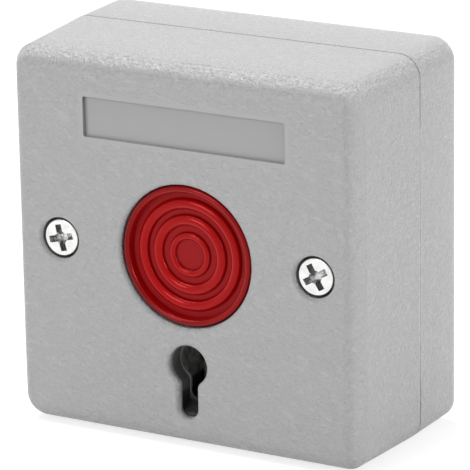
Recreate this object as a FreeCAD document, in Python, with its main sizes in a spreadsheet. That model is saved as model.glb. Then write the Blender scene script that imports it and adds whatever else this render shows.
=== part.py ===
"""Surface-mounted panic alarm with a ringed push button that latches in and a keyed release.

Millimetres. The wall is the plane Y = 0, the origin is the centre of the back face, +Z is up and
the face looks along -Y. A depth is a distance from the wall towards the room, so a depth d lies
at Y = -d.
"""
import FreeCAD, Part
import math
import os
import re
import Sketcher

Vector = FreeCAD.Vector

SIZES = {
    # Housing
    "panel_width": 86.0,  # width and height at the wall
    "box_depth": 16.0,  # wall to seam
    "cover_depth": 25.5,  # seam to face
    "corner_radius": 5.0,  # outline corners
    "edge_width": 2.4,  # bevel round the face, across the face
    "edge_depth": 1.25,  # and down the sides
    "edge_round": 2.6,  # blends the bevel into both
    "box_draft": 0.4,  # degrees
    "cover_draft": 2.0,  # degrees
    "box_wall": 2.2,
    "box_floor": 2.5,
    "cover_wall": 2.2,
    "cover_front": 2.5,
    "seam_gap": 0.25,  # shadow groove between cover and box
    "lip_wall": 1.0,
    "lip_height": 2.4,
    "lip_fit": 0.15,
    # Button
    "button_radius": 15.5,
    "button_gap": 0.3,
    "travel": 4.0,
    "aperture_round": 0.8,
    "collar_wall": 2.0,
    "collar_length": 5.0,
    "flange_reach": 1.25,  # stop flange past the aperture
    "flange_thickness": 1.6,
    "skirt_wall": 2.0,
    "cap_top": 2.0,
    "flat_sink": 2.4,  # flats below the face
    "ridge_share": 0.45,  # a ridge's rise over its width
    "rim_sink": 0.35,  # rim crest below the face
    "rim_width": 1.6,
    "rim_rise": 0.5,
    "rim_foot": 0.2,  # lean of the rim's inner side
    "inner_ridge_radius": 4.2,
    "inner_ridge_width": 1.65,
    "middle_ridge_radius": 7.7,
    "middle_ridge_width": 2.5,
    "outer_ridge_radius": 11.3,
    "outer_ridge_width": 2.5,
    "stem_radius": 4.0,
    "stem_half_flat": 3.4,
    "stem_lead": 0.8,  # chamfer at the stem's end
    "stem_fit": 0.08,
    "notch_depth": 1.3,
    "notch_play": 0.2,
    "stop_gap": 0.3,  # left at the end of the button's and the latch's travel
    "cut_past": 1.0,  # outlines of through cuts run this far past the part
    # Label recess
    "label_width": 48.8,
    "label_height": 8.9,
    "label_sink": 0.8,
    "label_inset": 15.0,  # top of the panel to the label's centre line
    "label_corner": 0.5,
    # Keyhole
    "key_centre": -24.4,
    "key_radius": 4.5,
    "key_slot_half": 2.15,
    "key_slot_reach": 11.8,  # below the key's centre
    "keyway_reach": 9.1,
    "key_neck_round": 1.6,  # between the round part and the slot
    "key_round": 0.9,
    "key_skin": 1.4,  # cover left in front of the key guide
    "keyway_plate": 2.9,  # guide behind the cover's inner face
    "key_ledge": 0.25,
    "key_ledge_depth": 0.6,
    # Cover screws and their posts
    "screw_inset": 12.0,  # side of the panel to the screw
    "pillar_radius": 6.2,
    "well_radius": 4.6,
    "well_depth": 3.3,
    "well_round": 0.45,
    "screw_radius": 1.95,
    "screw_bite": 7.8,  # length in the insert
    "screw_lead": 0.6,  # chamfer at the tip
    "screw_hole_play": 0.25,
    "head_radius": 4.15,
    "head_height": 3.0,
    "head_edge": 0.45,  # rounded edge of the head
    "head_crown": 0.15,
    "recess_reach": 3.0,
    "recess_half": 0.75,
    "recess_depth": 1.6,
    "recess_draft": 10.0,  # degrees
    "recess_eye": 1.5,  # round middle of the recess
    "recess_eye_depth": 2.0,
    "recess_eye_draft": 30.0,  # degrees
    "screw_turn_left": 14.0,  # degrees
    "screw_turn_right": 30.0,  # degrees
    "post_radius": 5.2,
    "insert_radius": 2.9,
    "insert_length": 8.0,
    "insert_groove": 0.35,
    "thread_play": 0.03,
    "insert_play": 0.04,
    "rib_thickness": 1.4,  # ribs that tie posts and pillars to the side walls
    "rib_step": 1.6,  # ribs short of the rim
    # Mechanism carrier
    "carrier_plate": 2.4,
    "carrier_gap": 0.8,  # to the screw pillars
    "carrier_top": 23.0,
    "carrier_inset": 3.8,  # bottom of the panel to the carrier
    "carrier_corner": 3.0,
    "sleeve_wall": 1.9,
    "sleeve_gap": 1.0,  # sleeve to cap when pressed
    "tower_half": 8.0,
    "tower_rise": 5.9,  # above the key's centre
    "tower_wall": 1.3,
    "tower_side": 2.6,
    "tower_gap": 0.2,  # round the key guide in the cover
    "carrier_screw_inset": 5.0,
    "carrier_screw_top": 18.0,
    "carrier_screw_bottom": -27.0,
    "small_post_radius": 3.2,
    "small_hole_depth": 8.0,
    # Latch
    "latch_thickness": 2.0,
    "latch_play": 0.15,
    "latch_half": 5.0,
    "latch_travel": 2.0,
    "nose_half": 3.0,
    "nose_length": 2.7,
    "nose_gap": 0.3,
    "ramp_half": 1.9,
    "ramp_length": 5.6,
    "ramp_height": 5.0,
    "ramp_land": 1.0,  # flat end of the ramp
    "rail_width": 6.0,
    "rail_top": -8.0,
    "window_half": 1.6,
    "window_top": -10.5,
    "peg_top": -17.5,
    "peg_height": 1.5,
    "keeper_thickness": 1.2,
    "keeper_screw_top": -12.0,
    "keeper_screw_inset": 6.2,
    # Small screws
    "small_screw_radius": 1.45,
    "carrier_screw_length": 7.5,
    "board_screw_spare": 1.05,  # tip to the pilot hole's end
    "small_head_radius": 2.6,
    "small_head_height": 1.8,
    "tiny_screw_radius": 0.9,
    "keeper_screw_length": 3.8,
    "clamp_screw_length": 3.8,
    "tiny_head_radius": 1.7,
    "tiny_head_height": 1.1,
    "slot_width": 0.7,
    "slot_share": 0.45,  # driver slot's depth over the head's height
    # Contact block
    "switch_height": 8.5,
    "switch_half_x": 7.5,
    "switch_half_z": 6.0,
    "switch_wall": 1.0,
    "switch_lid": 1.2,
    "tip_gap": 0.2,  # stem to plunger
    "plunger_radius": 2.0,
    "plunger_fit": 0.06,
    "plunger_bore": 1.35,
    "plunger_flange": 2.9,
    "plunger_flange_height": 0.6,
    "plunger_spare": 0.4,
    "plunger_roof": 1.6,
    "plunger_edge": 0.5,
    "contact_thickness": 0.4,
    "bridge_half": 5.6,
    "contact_reach": 3.4,
    "contact_width": 1.2,
    "leg_out": 0.3,
    "leg_past_board": 1.2,
    # Circuit board and terminals
    "board_thickness": 1.6,
    "board_gap": 4.8,  # to the posts of the cover's screws
    "board_top": 23.0,
    "board_bottom": -13.0,
    "board_screw_inset": 3.5,
    "board_screw_top": 9.0,
    "board_screw_bottom": -9.5,
    "board_post_radius": 3.0,
    "terminal_pitch": 5.08,
    "terminal_count": 4,
    "terminal_height": 10.0,
    "terminal_base": 13.0,
    "terminal_depth": 8.4,
    "terminal_entry": 3.7,
    "terminal_entry_height": 4.8,
    "terminal_entry_depth": 6.4,
    "terminal_floor": 1.0,  # board to wire entry
    "terminal_well": 1.95,
    "terminal_well_floor": 2.0,
    "clamp_roof": 1.5,
    "leg_hole": 0.72,
    "clamp_wall": 0.5,
    "clamp_play": 0.1,
    # Springs
    "spring_radius": 7.8,
    "spring_wire": 0.9,
    "spring_turns": 4.5,
    "spring_grind": 0.1,  # share of the wire ground off each end
    "latch_spring_radius": 0.85,
    "latch_spring_wire": 0.3,
    "latch_spring_turns": 8.5,
    "contact_spring_radius": 1.0,
    "contact_spring_wire": 0.3,
    "contact_spring_turns": 8.5,
    # Wall side
    "wall_screw_offset": 30.15,
    "wall_slot_half": 2.2,
    "wall_slot_length": 8.0,
    "cable_x": -20.0,
    "cable_z": -24.0,
    "cable_radius": 8.0,
}

PLACES = {
    "face_depth": "box_depth + cover_depth",
    "seam_half": "panel_width / 2 - box_depth * tan(box_draft * 1 deg)",
    "screw_offset": "panel_width / 2 - screw_inset",
    "label_centre": "panel_width / 2 - label_inset",
    "key_slot_end": "key_centre - key_slot_reach",
    "key_neck": "key_centre - sqrt(key_radius ^ 2 - key_slot_half ^ 2)",
    "keyway_end": "key_centre - keyway_reach",
    "tower_top": "key_centre + tower_rise",
    "carrier_half": "screw_offset - pillar_radius - carrier_gap",
    "carrier_bottom": "carrier_inset - panel_width / 2",
    "carrier_screw_x": "carrier_half - carrier_screw_inset",
    "keeper_screw_bottom": "carrier_bottom + keeper_screw_inset",
    "board_half": "screw_offset - post_radius - board_gap",
    "board_screw_x": "board_half - board_screw_inset",
    "cover_back": "box_depth + seam_gap",
    "cover_inside": "face_depth - cover_front",
    "tower_front": "face_depth - key_skin",
    "keyway_back": "cover_inside - keyway_plate",
    "aperture_radius": "button_radius + button_gap",
    "collar_end": "cover_inside - collar_length",
    "flange_back": "collar_end - flange_thickness",
    "flat_depth": "face_depth - flat_sink",
    "cap_inside": "flat_depth - cap_top",
    "carrier_front": "flange_back - travel - stop_gap",
    "carrier_back": "carrier_front - carrier_plate",
    "latch_front": "carrier_back - latch_play",
    "latch_back": "latch_front - latch_thickness",
    "keeper_front": "latch_back - latch_play",
    "keeper_back": "keeper_front - keeper_thickness",
    "stem_end": "keeper_back - stem_lead",
    "latch_tail": "carrier_bottom + tower_wall + latch_travel + stop_gap",
    "ramp_start": "latch_tail + ramp_length",
    "sleeve_bore": "stem_radius + stem_fit",
    "nose_tip": "-stem_radius - nose_gap",
    "plunger_tip": "stem_end - tip_gap",
    "lid_front": "plunger_tip - travel - plunger_spare",
    "lid_back": "lid_front - switch_lid",
    "board_front": "lid_front - switch_height",
    "board_back": "board_front - board_thickness",
    "board_screw_length": "board_front - box_floor / 2 - board_screw_spare",
    "contact_back": "lid_back - contact_thickness",
    "bridge_back": "contact_back - contact_thickness",
    "switch_floor": "board_front + switch_wall",
    "well_floor": "face_depth - well_depth",
    "head_top": "well_floor + head_height",
    "screw_tip": "box_depth - screw_bite",
    "screw_hole": "screw_radius + screw_hole_play",
    "small_hole": "small_screw_radius + thread_play",
    "tiny_hole": "tiny_screw_radius + thread_play",
    "terminal_top": "board_front + terminal_height",
    "entry_low": "board_front + terminal_floor",
    "entry_high": "entry_low + terminal_entry_height",
    "clamp_top": "entry_high - clamp_play",
    "terminal_half": "terminal_pitch * terminal_count / 2",
    "terminal_mid": "terminal_base + terminal_depth / 2",
}

document = FreeCAD.newDocument("panic_alarm")
sheet = document.addObject("Spreadsheet::Sheet", "Sizes")
NAME = re.compile(r"[a-z]\w*")
CLOSE = 0.001  # distances below this count as none
HALF_TURN = 0.99999  # a slot's end is this share of a half circle, so that its arc has one side


def fill_sheet():
    for row, (name, size) in enumerate(SIZES.items(), 1):
        sheet.set(f"A{row}", name)
        sheet.set(f"B{row}", str(size))
        sheet.setAlias(f"B{row}", name)
    for row, (name, formula) in enumerate(PLACES.items(), 1):
        sheet.set(f"D{row}", name)
        sheet.set(f"E{row}", "=" + formula)
        sheet.setAlias(f"E{row}", name)
    document.recompute()


def linked(formula):
    """The formula with every size and place read from the sheet."""
    def prefixed(match):
        word = match.group(0)
        return f"Sizes.{word}" if word in SIZES or word in PLACES else word
    return NAME.sub(prefixed, str(formula))


def value(formula):
    return float(sheet.evalExpression(str(formula)))


def bind(thing, field, formula):
    thing.setExpression(field, linked(formula))


# Sketches

def new_body(label):
    body = document.addObject("PartDesign::Body", label)
    body.Label = label
    return body


def new_sketch(body, name, plane="XZ_Plane", depth="0", turned=False):
    """A sketch on one of the body's own planes. XZ looks out of the wall, with X and Z as its axes.
    A turned sketch on XY has the depth as its upright axis, for profiles that are revolved."""
    sketch = body.newObject("Sketcher::SketchObject", name)
    support = [item for item in body.Origin.OriginFeatures if item.Role == plane]
    sketch.AttachmentSupport = [(support[0], "")]
    sketch.MapMode = "FlatFace"
    if turned:
        sketch.AttachmentOffset = FreeCAD.Placement(Vector(), FreeCAD.Rotation(Vector(0, 0, 1), 180))
    bind(sketch, "AttachmentOffset.Base.z", depth)
    return sketch


def hold(sketch, constraint, formula, name):
    index = sketch.addConstraint(constraint)
    sketch.renameConstraint(index, name)
    bind(sketch, f"Constraints.{name}", formula)


def pin_point(sketch, item, end, across, up, name):
    """Holds one end of an item at a place worked out from the sizes."""
    for kind, formula, axis in (("DistanceX", across, -2), ("DistanceY", up, -1)):
        if str(formula) == "0":
            sketch.addConstraint(Sketcher.Constraint("PointOnObject", item, end, axis))
            continue
        constraint = Sketcher.Constraint(kind, item, end, value(formula))
        hold(sketch, constraint, formula, f"{name}_{kind[-1].lower()}")


def draw_circle(sketch, across, up, radius):
    centre = Vector(value(across), value(up), 0)
    item = sketch.addGeometry(Part.Circle(centre, Vector(0, 0, 1), value(radius)))
    hold(sketch, Sketcher.Constraint("Radius", item, value(radius)), radius, f"radius{item}")
    pin_point(sketch, item, 3, across, up, f"centre{item}")


def arc_over(start, end, rise):
    """The arc from start to end whose middle stands rise to the left of the chord."""
    chord = end - start
    half = chord.Length / 2
    radius = (half * half + rise * rise) / (2 * abs(rise))
    left = Vector(-chord.y, chord.x, 0).normalize()
    side = 1 if rise > 0 else -1
    centre = start + chord / 2 + left * side * (abs(rise) - radius)
    first, last = (end, start) if side > 0 else (start, end)
    angles = [math.atan2(point.y - centre.y, point.x - centre.x) for point in (first, last)]
    arc = Part.ArcOfCircle(Part.Circle(centre, Vector(0, 0, 1), radius), angles[0], angles[1])
    return arc, radius, (2 if side > 0 else 1), (1 if side > 0 else 2)


def draw_outline(sketch, points):
    """A closed outline. A point is (across, up), or (across, up, rise) where an arc leads to it."""
    first = sketch.GeometryCount
    spots = [Vector(value(point[0]), value(point[1]), 0) for point in points]
    starts, ends = [], []
    for index, point in enumerate(points):
        before = points[index - 1]
        if len(point) == 3:
            arc, radius, start, end = arc_over(spots[index - 1], spots[index], value(point[2]))
            item = sketch.addGeometry(arc)
            wide = f"(({point[0]}) - ({before[0]})) ^ 2"
            high = f"(({point[1]}) - ({before[1]})) ^ 2"
            formula = f"({wide} + {high}) / (8 * abs({point[2]})) + abs({point[2]}) / 2"
            hold(sketch, Sketcher.Constraint("Radius", item, radius), formula, f"radius{item}")
        else:
            item = sketch.addGeometry(Part.LineSegment(spots[index - 1], spots[index]))
            start, end = 1, 2
        starts.append(start)
        ends.append(end)
    for index, point in enumerate(points):
        after = (index + 1) % len(points)
        joint = Sketcher.Constraint("Coincident", first + index, ends[index], first + after, starts[after])
        sketch.addConstraint(joint)
        pin_point(sketch, first + index, ends[index], point[0], point[1], f"point{first + index}")


def draw_box(sketch, left, right, low, high):
    draw_outline(sketch, [(left, low), (right, low), (right, high), (left, high)])


def draw_rounded(sketch, left, right, low, high, radius):
    """A rectangle with round corners: four sides and four tangent arcs."""
    first = sketch.GeometryCount
    west, east, south, north, bend = [value(item) for item in (left, right, low, high, radius)]
    corners = [
        (east - bend, south + bend), (east - bend, north - bend),
        (west + bend, north - bend), (west + bend, south + bend),
    ]
    sides = [
        (Vector(west + bend, south, 0), Vector(east - bend, south, 0)),
        (Vector(east, south + bend, 0), Vector(east, north - bend, 0)),
        (Vector(east - bend, north, 0), Vector(west + bend, north, 0)),
        (Vector(west, north - bend, 0), Vector(west, south + bend, 0)),
    ]
    for start, end in sides:
        sketch.addGeometry(Part.LineSegment(start, end))
    for number, (across, up) in enumerate(corners):
        circle = Part.Circle(Vector(across, up, 0), Vector(0, 0, 1), bend)
        sketch.addGeometry(Part.ArcOfCircle(circle, (number - 1) * math.pi / 2, number * math.pi / 2))
    for side in range(4):
        corner = first + 4 + side
        after = first + (side + 1) % 4
        sketch.addConstraint(Sketcher.Constraint("Tangent", first + side, 2, corner, 1))
        sketch.addConstraint(Sketcher.Constraint("Tangent", corner, 2, after, 1))
        sketch.addConstraint(Sketcher.Constraint("Vertical" if side % 2 else "Horizontal", first + side))
        if side:
            sketch.addConstraint(Sketcher.Constraint("Equal", first + 4, corner))
    hold(sketch, Sketcher.Constraint("Radius", first + 4, bend), radius, f"radius{first}")
    hold(sketch, Sketcher.Constraint("DistanceX", first + 1, 1, east), right, f"right{first}")
    hold(sketch, Sketcher.Constraint("DistanceX", first + 3, 1, west), left, f"left{first}")
    hold(sketch, Sketcher.Constraint("DistanceY", first, 1, south), low, f"low{first}")
    hold(sketch, Sketcher.Constraint("DistanceY", first + 2, 1, north), high, f"high{first}")


def draw_square(sketch, half, radius):
    draw_rounded(sketch, f"-({half})", half, f"-({half})", half, radius)


def draw_slot(sketch, across, half, low, high):
    """An upright slot with round ends, from its lowest to its highest point."""
    left, right = f"({across}) - ({half})", f"({across}) + ({half})"
    bottom, top = f"({low}) + ({half})", f"({high}) - ({half})"
    rise = f"-({half}) * {HALF_TURN}"
    draw_outline(sketch, [(left, bottom), (right, bottom, rise), (right, top), (left, top, rise)])


# Features

def settle(body, feature, grows):
    """Recomputes, and checks that the feature added or removed material as it should."""
    before = body.Tip.Shape.Volume if body.Tip and body.Tip != feature else 0.0
    base = feature.BaseFeature.Shape.Volume if feature.BaseFeature else before
    document.recompute()
    if "Invalid" in feature.State or "Error" in feature.State or feature.Shape.isNull():
        raise RuntimeError(f"{body.Label}: {feature.Name} failed")
    change = feature.Shape.Volume - base
    if (change <= 0) if grows else (change >= 0):
        raise RuntimeError(f"{body.Label}: {feature.Name} changed nothing")
    return feature


def pad(body, sketch, length, backwards=False, taper=None):
    feature = body.newObject("PartDesign::Pad", f"{sketch.Name}_pad")
    feature.Profile = sketch
    bind(feature, "Length", length)
    feature.Reversed = backwards
    if taper:
        bind(feature, "TaperAngle", taper)
    return settle(body, feature, True)


def pad_both(body, sketch, length):
    feature = body.newObject("PartDesign::Pad", f"{sketch.Name}_pad")
    feature.Profile = sketch
    feature.Midplane = True
    bind(feature, "Length", length)
    return settle(body, feature, True)


def cut(body, sketch, length, forwards=False, taper=None):
    """Cuts towards the wall, or towards the face where forwards is set."""
    feature = body.newObject("PartDesign::Pocket", f"{sketch.Name}_cut")
    feature.Profile = sketch
    bind(feature, "Length", length)
    feature.Reversed = forwards
    if taper:
        bind(feature, "TaperAngle", taper)
    return settle(body, feature, False)


def cut_both(body, sketch, length):
    feature = body.newObject("PartDesign::Pocket", f"{sketch.Name}_cut")
    feature.Profile = sketch
    feature.Midplane = True
    bind(feature, "Length", length)
    return settle(body, feature, False)


def revolve(body, sketch):
    feature = body.newObject("PartDesign::Revolution", f"{sketch.Name}_turned")
    feature.Profile = sketch
    feature.ReferenceAxis = (sketch, ["V_Axis"])
    feature.Angle = 360
    return settle(body, feature, True)


def edges_where(shape, test):
    return [f"Edge{number}" for number, edge in enumerate(shape.Edges, 1) if test(edge)]


def soften(body, name, radius, test, kind="PartDesign::Fillet"):
    """Rounds, or chamfers, the edges of the body that the test picks."""
    base = body.Tip
    names = edges_where(base.Shape, test)
    if not names:
        raise RuntimeError(f"{body.Label}: {name} finds no edge")
    feature = body.newObject(kind, name)
    feature.Base = (base, names)
    bind(feature, "Radius" if kind.endswith("Fillet") else "Size", radius)
    document.recompute()
    if "Invalid" in feature.State or not feature.Shape.isValid():
        raise RuntimeError(f"{body.Label}: {name} failed")
    return feature


def at_depth(edge, formula):
    """Whether the edge lies flat at this depth."""
    box = edge.BoundBox
    level = -value(formula)
    return abs(box.YMin - level) < CLOSE and abs(box.YMax - level) < CLOSE


def runs_outwards(edge):
    """Whether the edge runs from the wall towards the room."""
    box = edge.BoundBox
    return box.YLength > max(box.XLength, box.ZLength)


def near(edge, across, up, reach):
    """Whether the whole edge lies in the square that goes this far each way from a point of the face."""
    box = edge.BoundBox
    far_across = max(abs(x - value(across)) for x in (box.XMin, box.XMax))
    far_up = max(abs(z - value(up)) for z in (box.ZMin, box.ZMax))
    return max(far_across, far_up) < value(reach) + CLOSE


def at_neck(edge):
    """Whether the edge is one where the keyhole's round part meets its slot."""
    return runs_outwards(edge) and near(edge, "0", "key_neck", "key_slot_half")


def disc(body, name, depth, spots, radius):
    sketch = new_sketch(body, name, depth=depth)
    for across, up in spots:
        draw_circle(sketch, across, up, radius)
    return sketch


def both_sides(offset, up="0"):
    return [(f"-({offset})", up), (offset, up)]


CARRIER_SCREWS = both_sides("carrier_screw_x", "carrier_screw_top") + both_sides(
    "carrier_screw_x", "carrier_screw_bottom")
BOARD_SCREWS = both_sides("board_screw_x", "board_screw_top") + both_sides(
    "board_screw_x", "board_screw_bottom")
KEEPER_SCREW_X = "latch_half + latch_play + rail_width / 2"
KEEPER_SCREWS = both_sides(KEEPER_SCREW_X, "keeper_screw_top") + both_sides(
    KEEPER_SCREW_X, "keeper_screw_bottom")


# Housing

def draw_ribs(sketch, reach):
    """Ribs at mid height, from both cover screws out to reach."""
    half = "rib_thickness / 2"
    draw_box(sketch, "screw_offset", reach, f"-{half}", half)
    draw_box(sketch, f"-({reach})", "-screw_offset", f"-{half}", half)


def front_cover():
    body = new_body("front_cover")
    outline = new_sketch(body, "cover_outline", depth="cover_back")
    draw_box(outline, "-seam_half", "seam_half", "-seam_half", "seam_half")
    pad(body, outline, "cover_depth - seam_gap", taper="-cover_draft")
    soften(body, "cover_corners", "corner_radius", runs_outwards)
    bevel = soften(body, "face_bevel", "edge_width", lambda edge: at_depth(edge, "face_depth"),
                   "PartDesign::Chamfer")
    bevel.ChamferType = "Two distances"
    bind(bevel, "Size2", "edge_depth")
    document.recompute()
    soften(body, "face_edge", "edge_round", lambda edge: at_depth(edge, "face_depth")
           or at_depth(edge, "face_depth - edge_depth"))

    hollow = new_sketch(body, "cover_hollow", depth="cover_back")
    draw_square(hollow, "seam_half - cover_wall", "corner_radius - cover_wall")
    cut(body, hollow, "cover_inside - cover_back", forwards=True, taper="-cover_draft")
    rebate = new_sketch(body, "lip_rebate", depth="cover_back")
    rebate_half = "seam_half - box_wall + lip_wall + lip_fit"
    draw_square(rebate, rebate_half, "corner_radius - box_wall + lip_wall + lip_fit")
    cut(body, rebate, "lip_height", forwards=True)

    collar = disc(body, "collar", "cover_inside", [("0", "0")], "aperture_radius + collar_wall")
    pad(body, collar, "collar_length", backwards=True)
    pillars = disc(body, "pillars", "cover_inside", both_sides("screw_offset"), "pillar_radius")
    pad(body, pillars, "cover_inside - box_depth", backwards=True)
    posts = disc(body, "carrier_posts", "cover_inside", CARRIER_SCREWS, "small_post_radius")
    pad(body, posts, "cover_inside - carrier_front", backwards=True)

    ribs = new_sketch(body, "pillar_ribs", depth="cover_inside")
    draw_ribs(ribs, "seam_half - cover_wall / 2")
    pad(body, ribs, "cover_inside - box_depth - lip_height - rib_step", backwards=True)

    aperture = disc(body, "aperture", "face_depth", [("0", "0")], "aperture_radius")
    cut(body, aperture, "face_depth - collar_end")
    wells = disc(body, "screw_wells", "face_depth", both_sides("screw_offset"), "well_radius")
    cut(body, wells, "well_depth")
    holes = disc(body, "screw_holes", "face_depth", both_sides("screw_offset"), "screw_hole")
    cut(body, holes, "cover_depth")
    pilots = disc(body, "pilot_holes", "carrier_front", CARRIER_SCREWS, "small_hole")
    cut(body, pilots, "small_hole_depth", forwards=True)

    label = new_sketch(body, "label_recess", depth="face_depth")
    draw_rounded(label, "-label_width / 2", "label_width / 2", "label_centre - label_height / 2",
                 "label_centre + label_height / 2", "label_corner")
    cut(body, label, "label_sink")
    guide = new_sketch(body, "guide_pocket", depth="cover_inside")
    draw_rounded(guide, "-tower_half - tower_gap", "tower_half + tower_gap", "carrier_bottom - tower_gap",
                 "tower_top + tower_gap", "tower_wall + tower_gap")
    cut(body, guide, "tower_front - cover_inside", forwards=True)
    key_hole = disc(body, "key_hole", "face_depth", [("0", "key_centre")], "key_radius")
    cut(body, key_hole, "key_skin")
    key_slot = new_sketch(body, "key_slot", depth="face_depth")
    draw_slot(key_slot, "0", "key_slot_half", "key_slot_end", "key_centre")
    cut(body, key_slot, "key_skin")
    soften(body, "key_neck_edges", "key_neck_round", at_neck)

    soften(body, "aperture_edge", "aperture_round", lambda edge: at_depth(edge, "face_depth")
           and near(edge, "0", "0", "aperture_radius"))
    soften(body, "well_edges", "well_round", lambda edge: at_depth(edge, "face_depth")
           and (near(edge, "screw_offset", "0", "well_radius")
                or near(edge, "-screw_offset", "0", "well_radius")))
    soften(body, "key_edge", "key_round", lambda edge: at_depth(edge, "face_depth")
           and near(edge, "0", "key_slot_end", "key_slot_reach + key_radius"))
    return body


def back_box():
    body = new_body("back_box")
    outline = new_sketch(body, "box_outline")
    draw_box(outline, "-panel_width / 2", "panel_width / 2", "-panel_width / 2", "panel_width / 2")
    pad(body, outline, "box_depth", taper="-box_draft")
    soften(body, "box_corners", "corner_radius", runs_outwards)
    hollow = new_sketch(body, "box_hollow", depth="box_depth")
    draw_square(hollow, "seam_half - box_wall", "corner_radius - box_wall")
    cut(body, hollow, "box_depth - box_floor")
    lip = new_sketch(body, "lip", depth="box_depth")
    draw_square(lip, "seam_half - box_wall + lip_wall", "corner_radius - box_wall + lip_wall")
    draw_square(lip, "seam_half - box_wall", "corner_radius - box_wall")
    pad(body, lip, "lip_height")
    posts = disc(body, "screw_posts", "box_floor", both_sides("screw_offset"), "post_radius")
    pad(body, posts, "box_depth - box_floor")
    ribs = new_sketch(body, "post_ribs", depth="box_floor")
    draw_ribs(ribs, "seam_half - box_wall / 2")
    pad(body, ribs, "box_depth - box_floor - rib_step")
    board_posts = disc(body, "board_posts", "box_floor", BOARD_SCREWS, "board_post_radius")
    pad(body, board_posts, "board_back - box_floor")

    sockets = disc(body, "insert_sockets", "box_depth", both_sides("screw_offset"),
                   "insert_radius + insert_play")
    cut(body, sockets, "insert_length")
    run_outs = disc(body, "screw_run_outs", "box_depth", both_sides("screw_offset"), "screw_hole")
    cut(body, run_outs, "box_depth - box_floor")
    pilots = disc(body, "board_pilots", "board_back", BOARD_SCREWS, "small_hole")
    cut(body, pilots, "board_back - box_floor / 2")
    slots = new_sketch(body, "wall_slots", depth="box_floor")
    reach = "wall_slot_length / 2"
    draw_slot(slots, "0", "wall_slot_half", f"wall_screw_offset - {reach}", f"wall_screw_offset + {reach}")
    draw_slot(slots, "0", "wall_slot_half", f"-wall_screw_offset - {reach}", f"-wall_screw_offset + {reach}")
    cut(body, slots, "box_floor")
    cable = disc(body, "cable_entry", "box_floor", [("cable_x", "cable_z")], "cable_radius")
    cut(body, cable, "box_floor")
    return body


# Button

def button_cap():
    """Ringed cap, skirt, stop flange and stem, turned as one, with the stem's flats and notch."""
    body = new_body("button_cap")
    profile = new_sketch(body, "cap_profile", "XY_Plane", turned=True)
    points = [("0", "flat_depth")]
    for ridge in ("inner_ridge", "middle_ridge", "outer_ridge"):
        points.append((f"{ridge}_radius - {ridge}_width / 2", "flat_depth"))
        points.append((f"{ridge}_radius + {ridge}_width / 2", "flat_depth", f"{ridge}_width * ridge_share"))
    shoulder = "face_depth - rim_sink - rim_rise"
    points += [
        ("button_radius - rim_width", "flat_depth"),
        ("button_radius - rim_width + rim_foot", shoulder),
        ("button_radius", shoulder, "rim_rise"),
        ("button_radius", "collar_end"),
        ("aperture_radius + flange_reach", "collar_end"),
        ("aperture_radius + flange_reach", "flange_back"),
        ("button_radius - skirt_wall", "flange_back"),
        ("button_radius - skirt_wall", "cap_inside"),
        ("stem_radius", "cap_inside"),
        ("stem_radius", "stem_end + stem_lead"),
        ("stem_radius - stem_lead", "stem_end"),
        ("0", "stem_end"),
    ]
    draw_outline(profile, points)
    revolve(body, profile)
    flats = new_sketch(body, "stem_flats", depth="stem_end")
    outside = "stem_radius + cut_past"
    draw_box(flats, "stem_half_flat", outside, f"-({outside})", outside)
    draw_box(flats, f"-({outside})", "-stem_half_flat", f"-({outside})", outside)
    cut(body, flats, "cap_inside - stem_end", forwards=True)
    notch = new_sketch(body, "latch_notch", depth="latch_front + travel + notch_play")
    draw_box(notch, f"-({outside})", outside, f"-({outside})", "notch_depth - stem_radius")
    cut(body, notch, "latch_thickness + notch_play * 2")
    return body


# Springs

def coil_spring(label, turns, radius, wire, start, end, place, axis):
    """A coil spring from start to end, along the depth or upwards, with its ends ground flat."""
    length = f"({end}) - ({start})"
    ground = f"({wire}) * spring_grind"
    helix = document.addObject("Part::Helix", f"{label}_helix")
    bind(helix, "Pitch", f"({length} + {ground} * 2) / ({turns})")
    bind(helix, "Height", f"{length} + {ground} * 2")
    bind(helix, "Radius", radius)
    wire_form = document.addObject("Part::Circle", f"{label}_wire")
    bind(wire_form, "Radius", f"({wire}) / 2")
    wire_form.Placement = FreeCAD.Placement(Vector(), FreeCAD.Rotation(Vector(1, 0, 0), 90))
    bind(wire_form, "Placement.Base.x", radius)
    sweep = document.addObject("Part::Sweep", f"{label}_sweep")
    sweep.Sections = [wire_form]
    document.recompute()
    sweep.Spine = (helix, [f"Edge{number}" for number, _ in enumerate(helix.Shape.Edges, 1)])
    sweep.Solid = True
    slab = document.addObject("Part::Cylinder", f"{label}_slab")
    bind(slab, "Radius", f"({radius}) + ({wire})")
    bind(slab, "Height", length)
    bind(slab, "Placement.Base.z", ground)
    spring = document.addObject("Part::Common", label)
    spring.Base = sweep
    spring.Tool = slab
    spring.Label = label
    along_depth = axis == "depth"
    turn = FreeCAD.Rotation(Vector(1, 0, 0), 90) if along_depth else FreeCAD.Rotation()
    spring.Placement = FreeCAD.Placement(Vector(), turn)
    across, depth, up = place
    bind(spring, "Placement.Base.x", across)
    bind(spring, "Placement.Base.y", f"-({start}) + {ground}" if along_depth else f"-({depth})")
    bind(spring, "Placement.Base.z", up if along_depth else f"({start}) - {ground}")
    document.recompute()
    return spring


# Mechanism

def draw_flatted(sketch, radius, half_flat):
    """A circle with a flat on each side."""
    up = f"sqrt(({radius}) ^ 2 - ({half_flat}) ^ 2)"
    rise = f"-(({radius}) - {up})"
    side = f"({half_flat})"
    draw_outline(sketch, [
        (side, f"-{up}", rise), (side, up), (f"-{side}", up, rise), (f"-{side}", f"-{up}"),
    ])


def cut_keyway(body, name, ledge, length):
    """A round hole with a slot below it, smaller all round by the ledge."""
    hole = disc(body, name, "tower_front", [("0", "key_centre")], f"key_radius - {ledge}")
    cut(body, hole, length)
    slot = new_sketch(body, f"{name}_slot", depth="tower_front")
    draw_slot(slot, "0", f"key_slot_half - {ledge}", f"keyway_end + {ledge}", "key_centre")
    cut(body, slot, length)


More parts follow.
